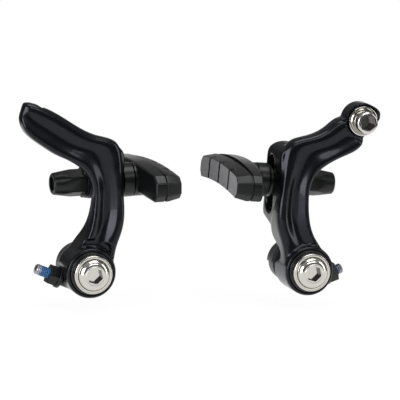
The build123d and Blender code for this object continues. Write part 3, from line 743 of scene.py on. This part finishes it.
class BRAKE_OT_anchor(bpy.types.Operator):
    """Make the cable anchor's bolt and washer"""
    bl_idname = "brake.anchor"
    bl_label = "Cable anchor"

    def execute(self, context):
        bright = turned_stainless("polished_stainless_anchor", *ANCHOR)
        self.washer(bright)
        self.bolt(context.scene.brake_thread.bolt_pitch, bright)
        return {"FINISHED"}

    def washer(self, material):
        """The washer, dished round the bolt's head."""
        x, z = ANCHOR
        front = Vector((x * MM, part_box("anchor_washer")[0][1], z * MM))
        rings = [(0.0, 3.2), (0.0, 3.9), (0.5, 4.05), (0.1, 4.8), (0.0, 4.85), (0.0, 5.1), (0.08, 5.24),
                 (0.25, 5.3), (1.3, 5.3), (1.4, 5.2), (1.4, 3.2), (0.0, 3.2)]
        washer = spun("anchor_dished_washer", in_metres(rings), front, REAR, 128)
        fit(creased(joined(washer), 30), "anchor_washer", material)

    def bolt(self, pitch, material):
        """The cap head with its socket, and the threaded shank."""
        head_r, head_height, socket_depth = 3.95, 4.6, 3.0
        x, z = ANCHOR
        low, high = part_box("anchor_bolt")
        front = Vector((x * MM, low[1], z * MM))
        rings = [(0, 0), (0, 3.3), (0.12, 3.55), (0.45, 3.85), (0.8, head_r), (head_height - 0.1, head_r),
                 (head_height, head_r - 0.1), (head_height, BOLT_R)]
        rings = in_metres(rings) + bolt_thread((head_height + 0.1) * MM, high[1] - low[1], pitch)
        bolt = spun("anchor_cap_bolt", rings, front, REAR, 96)
        hex_socket(bolt, front, REAR, SOCKET_ACROSS * MM, socket_depth * MM)
        fit(ease_edges(bolt, HEAD_ROUNDING, 40), "anchor_bolt", material)


class BRAKE_OT_studio(bpy.types.Operator):
    """Set the floor, the lights and the camera"""
    bl_idname = "brake.studio"
    bl_label = "Studio"

    def execute(self, context):
        settings = context.scene.brake_studio
        self.floor(settings)
        self.room(context.scene, settings)
        for name, offset, size, power in (
            ("key_softbox", (-1.0, -0.75, 0.15), (0.8, 0.9), settings.key_power),
            ("top_softbox", (0.1, -0.2, 1.15), (0.9, 0.6), settings.top_power),
            ("fill_softbox", (1.1, -0.5, 0.3), (0.4, 1.0), settings.fill_power),
            ("front_softbox", (0.2, -1.5, 1.1), (1.2, 0.3), settings.front_power),
        ):
            self.softbox(name, CENTRE + Vector(offset), CENTRE, size, power)
        self.camera(context.scene, settings, CENTRE)
        context.scene.view_settings.view_transform = "Standard"
        return {"FINISHED"}

    def seen(self, tree):
        """1 where the camera, a reflection or a refraction looks, and 0 for light that falls on things."""
        path = add_node(tree, "ShaderNodeLightPath")
        either = combine(tree, "MAXIMUM", path.outputs["Is Camera Ray"], path.outputs["Is Glossy Ray"])
        return combine(tree, "MAXIMUM", either, path.outputs["Is Transmission Ray"])

    def floor(self, settings):
        """An oval white floor that keeps the brake's shadow, low enough for the open arms to clear it."""
        level = cad_bounds[0][2] - FLOOR_DROP
        mesh = bpy.data.meshes.new("floor")
        turns = [i / FLOOR_CORNERS * math.tau for i in range(FLOOR_CORNERS)]
        rim = [(FLOOR_WIDE * math.cos(t), FLOOR_DEEP * math.sin(t) - FLOOR_FORWARD, level) for t in turns]
        mesh.from_pydata(rim, [], [range(FLOOR_CORNERS)])
        floor = new_piece("floor", mesh)
        material = bpy.data.materials.new("matt_white_floor")
        material.use_nodes = True
        tree = material.node_tree
        tree.nodes.clear()
        matt = add_node(tree, "ShaderNodeBsdfDiffuse", {"Color": settings.floor_colour})
        white = add_node(tree, "ShaderNodeEmission", {"Color": (1, 1, 1, 1), "Strength": FLOOR_GLOW})
        share = combine(tree, "MULTIPLY", self.seen(tree), FLOOR_GLOW_SHARE)
        both = add_node(tree, "ShaderNodeMixShader", {0: share, 1: matt.outputs[0], 2: white.outputs[0]})
        add_node(tree, "ShaderNodeOutputMaterial", {"Surface": both.outputs[0]})
        mesh.materials.append(material)

    def room(self, scene, settings):
        """Even light from all round, in front of a white backdrop."""
        world = bpy.data.worlds.new("room")
        world.use_nodes = True
        tree = world.node_tree
        tree.nodes.clear()
        path = add_node(tree, "ShaderNodeLightPath")
        way = add_node(tree, "ShaderNodeTexCoord")
        parts = add_node(tree, "ShaderNodeSeparateXYZ", {0: way.outputs["Generated"]})
        glow = stretch(tree, parts.outputs["Z"], 0.05, 0.9, settings.wall, settings.ceiling)
        behind = stretch(tree, reach_along(tree, way.outputs["Generated"], BACKDROP_WAY), 0.9, 0.96)
        shown = combine(tree, "MULTIPLY", self.seen(tree), behind)
        white = combine(tree, "MAXIMUM", shown, path.outputs["Is Camera Ray"])
        level = add_node(tree, "ShaderNodeMix", {0: white, 2: glow, 3: 1.0}, data_type="FLOAT")
        light = add_node(tree, "ShaderNodeBackground", {"Color": (1, 1, 1, 1), "Strength": level.outputs[0]})
        add_node(tree, "ShaderNodeOutputWorld", {"Surface": light.outputs[0]})
        scene.world = world

    def softbox(self, name, place, target, size, power):
        """A soft rectangular lamp that faces the target."""
        lamp = bpy.data.lights.new(name, "AREA")
        lamp.shape = "RECTANGLE"
        lamp.size, lamp.size_y = size
        lamp.energy = power
        box = bpy.data.objects.new(name, lamp)
        bpy.context.scene.collection.objects.link(box)
        box.location = place
        box.rotation_euler = (target - place).to_track_quat("-Z", "Y").to_euler()

    def camera(self, scene, settings, target):
        """The camera at the photograph's angle."""
        a, e, r = settings.azimuth, settings.elevation, settings.roll
        level = Vector((math.cos(a), -math.sin(a), 0))
        upright = Vector((math.sin(a) * math.sin(e), math.cos(a) * math.sin(e), math.cos(e)))
        right = level * math.cos(r) + upright * math.sin(r)
        up = upright * math.cos(r) - level * math.sin(r)
        back = right.cross(up)
        data = bpy.data.cameras.new("camera")
        data.lens = settings.lens
        data.sensor_width = 36
        data.sensor_fit = "HORIZONTAL"
        data.clip_start = 0.01
        data.clip_end = 50
        camera = bpy.data.objects.new("camera", data)
        scene.collection.objects.link(camera)
        turn = Matrix((right, up, back)).transposed()
        camera.matrix_world = Matrix.Translation(target + back * settings.distance) @ turn.to_4x4()
        scene.camera = camera


class BRAKE_PT_panel(bpy.types.Panel):
    """The brake's pieces and settings in the sidebar"""
    bl_label = "Cantilever brake"
    bl_idname = "BRAKE_PT_panel"
    bl_space_type = "VIEW_3D"
    bl_region_type = "UI"
    bl_category = "Brake"

    def draw(self, context):
        for operator in OPERATORS:
            self.layout.operator(operator.bl_idname)
        for group in SETTINGS:
            box = self.layout.box()
            settings = getattr(context.scene, group)
            for name in settings.bl_rna.properties.keys():
                if name not in ("rna_type", "name"):
                    box.prop(settings, name)


SETTINGS = {
    "brake_enamel": EnamelSettings,
    "brake_thread": ThreadSettings,
    "brake_shoe": ShoeSettings,
    "brake_studio": StudioSettings,
}
OPERATORS = (BRAKE_OT_arms, BRAKE_OT_pivots, BRAKE_OT_springs, BRAKE_OT_shoes, BRAKE_OT_shoe_fixings,
             BRAKE_OT_anchor, BRAKE_OT_studio)


def register():
    """Adds the classes and the scene's settings."""
    for group in (*SETTINGS.values(), *OPERATORS, BRAKE_PT_panel):
        bpy.utils.register_class(group)
    for name, group in SETTINGS.items():
        setattr(bpy.types.Scene, name, PointerProperty(type=group))


def unregister():
    """Takes the settings and classes away again."""
    for name in SETTINGS:
        delattr(bpy.types.Scene, name)
    for group in reversed((*SETTINGS.values(), *OPERATORS, BRAKE_PT_panel)):
        bpy.utils.unregister_class(group)


def main():
    """Dresses the brake."""
    register()
    bpy.ops.brake.arms()
    bpy.ops.brake.pivots()
    bpy.ops.brake.springs()
    bpy.ops.brake.shoes()
    bpy.ops.brake.shoe_fixings()
    bpy.ops.brake.anchor()
    bpy.ops.brake.studio()


if __name__ == "__main__":
    main()
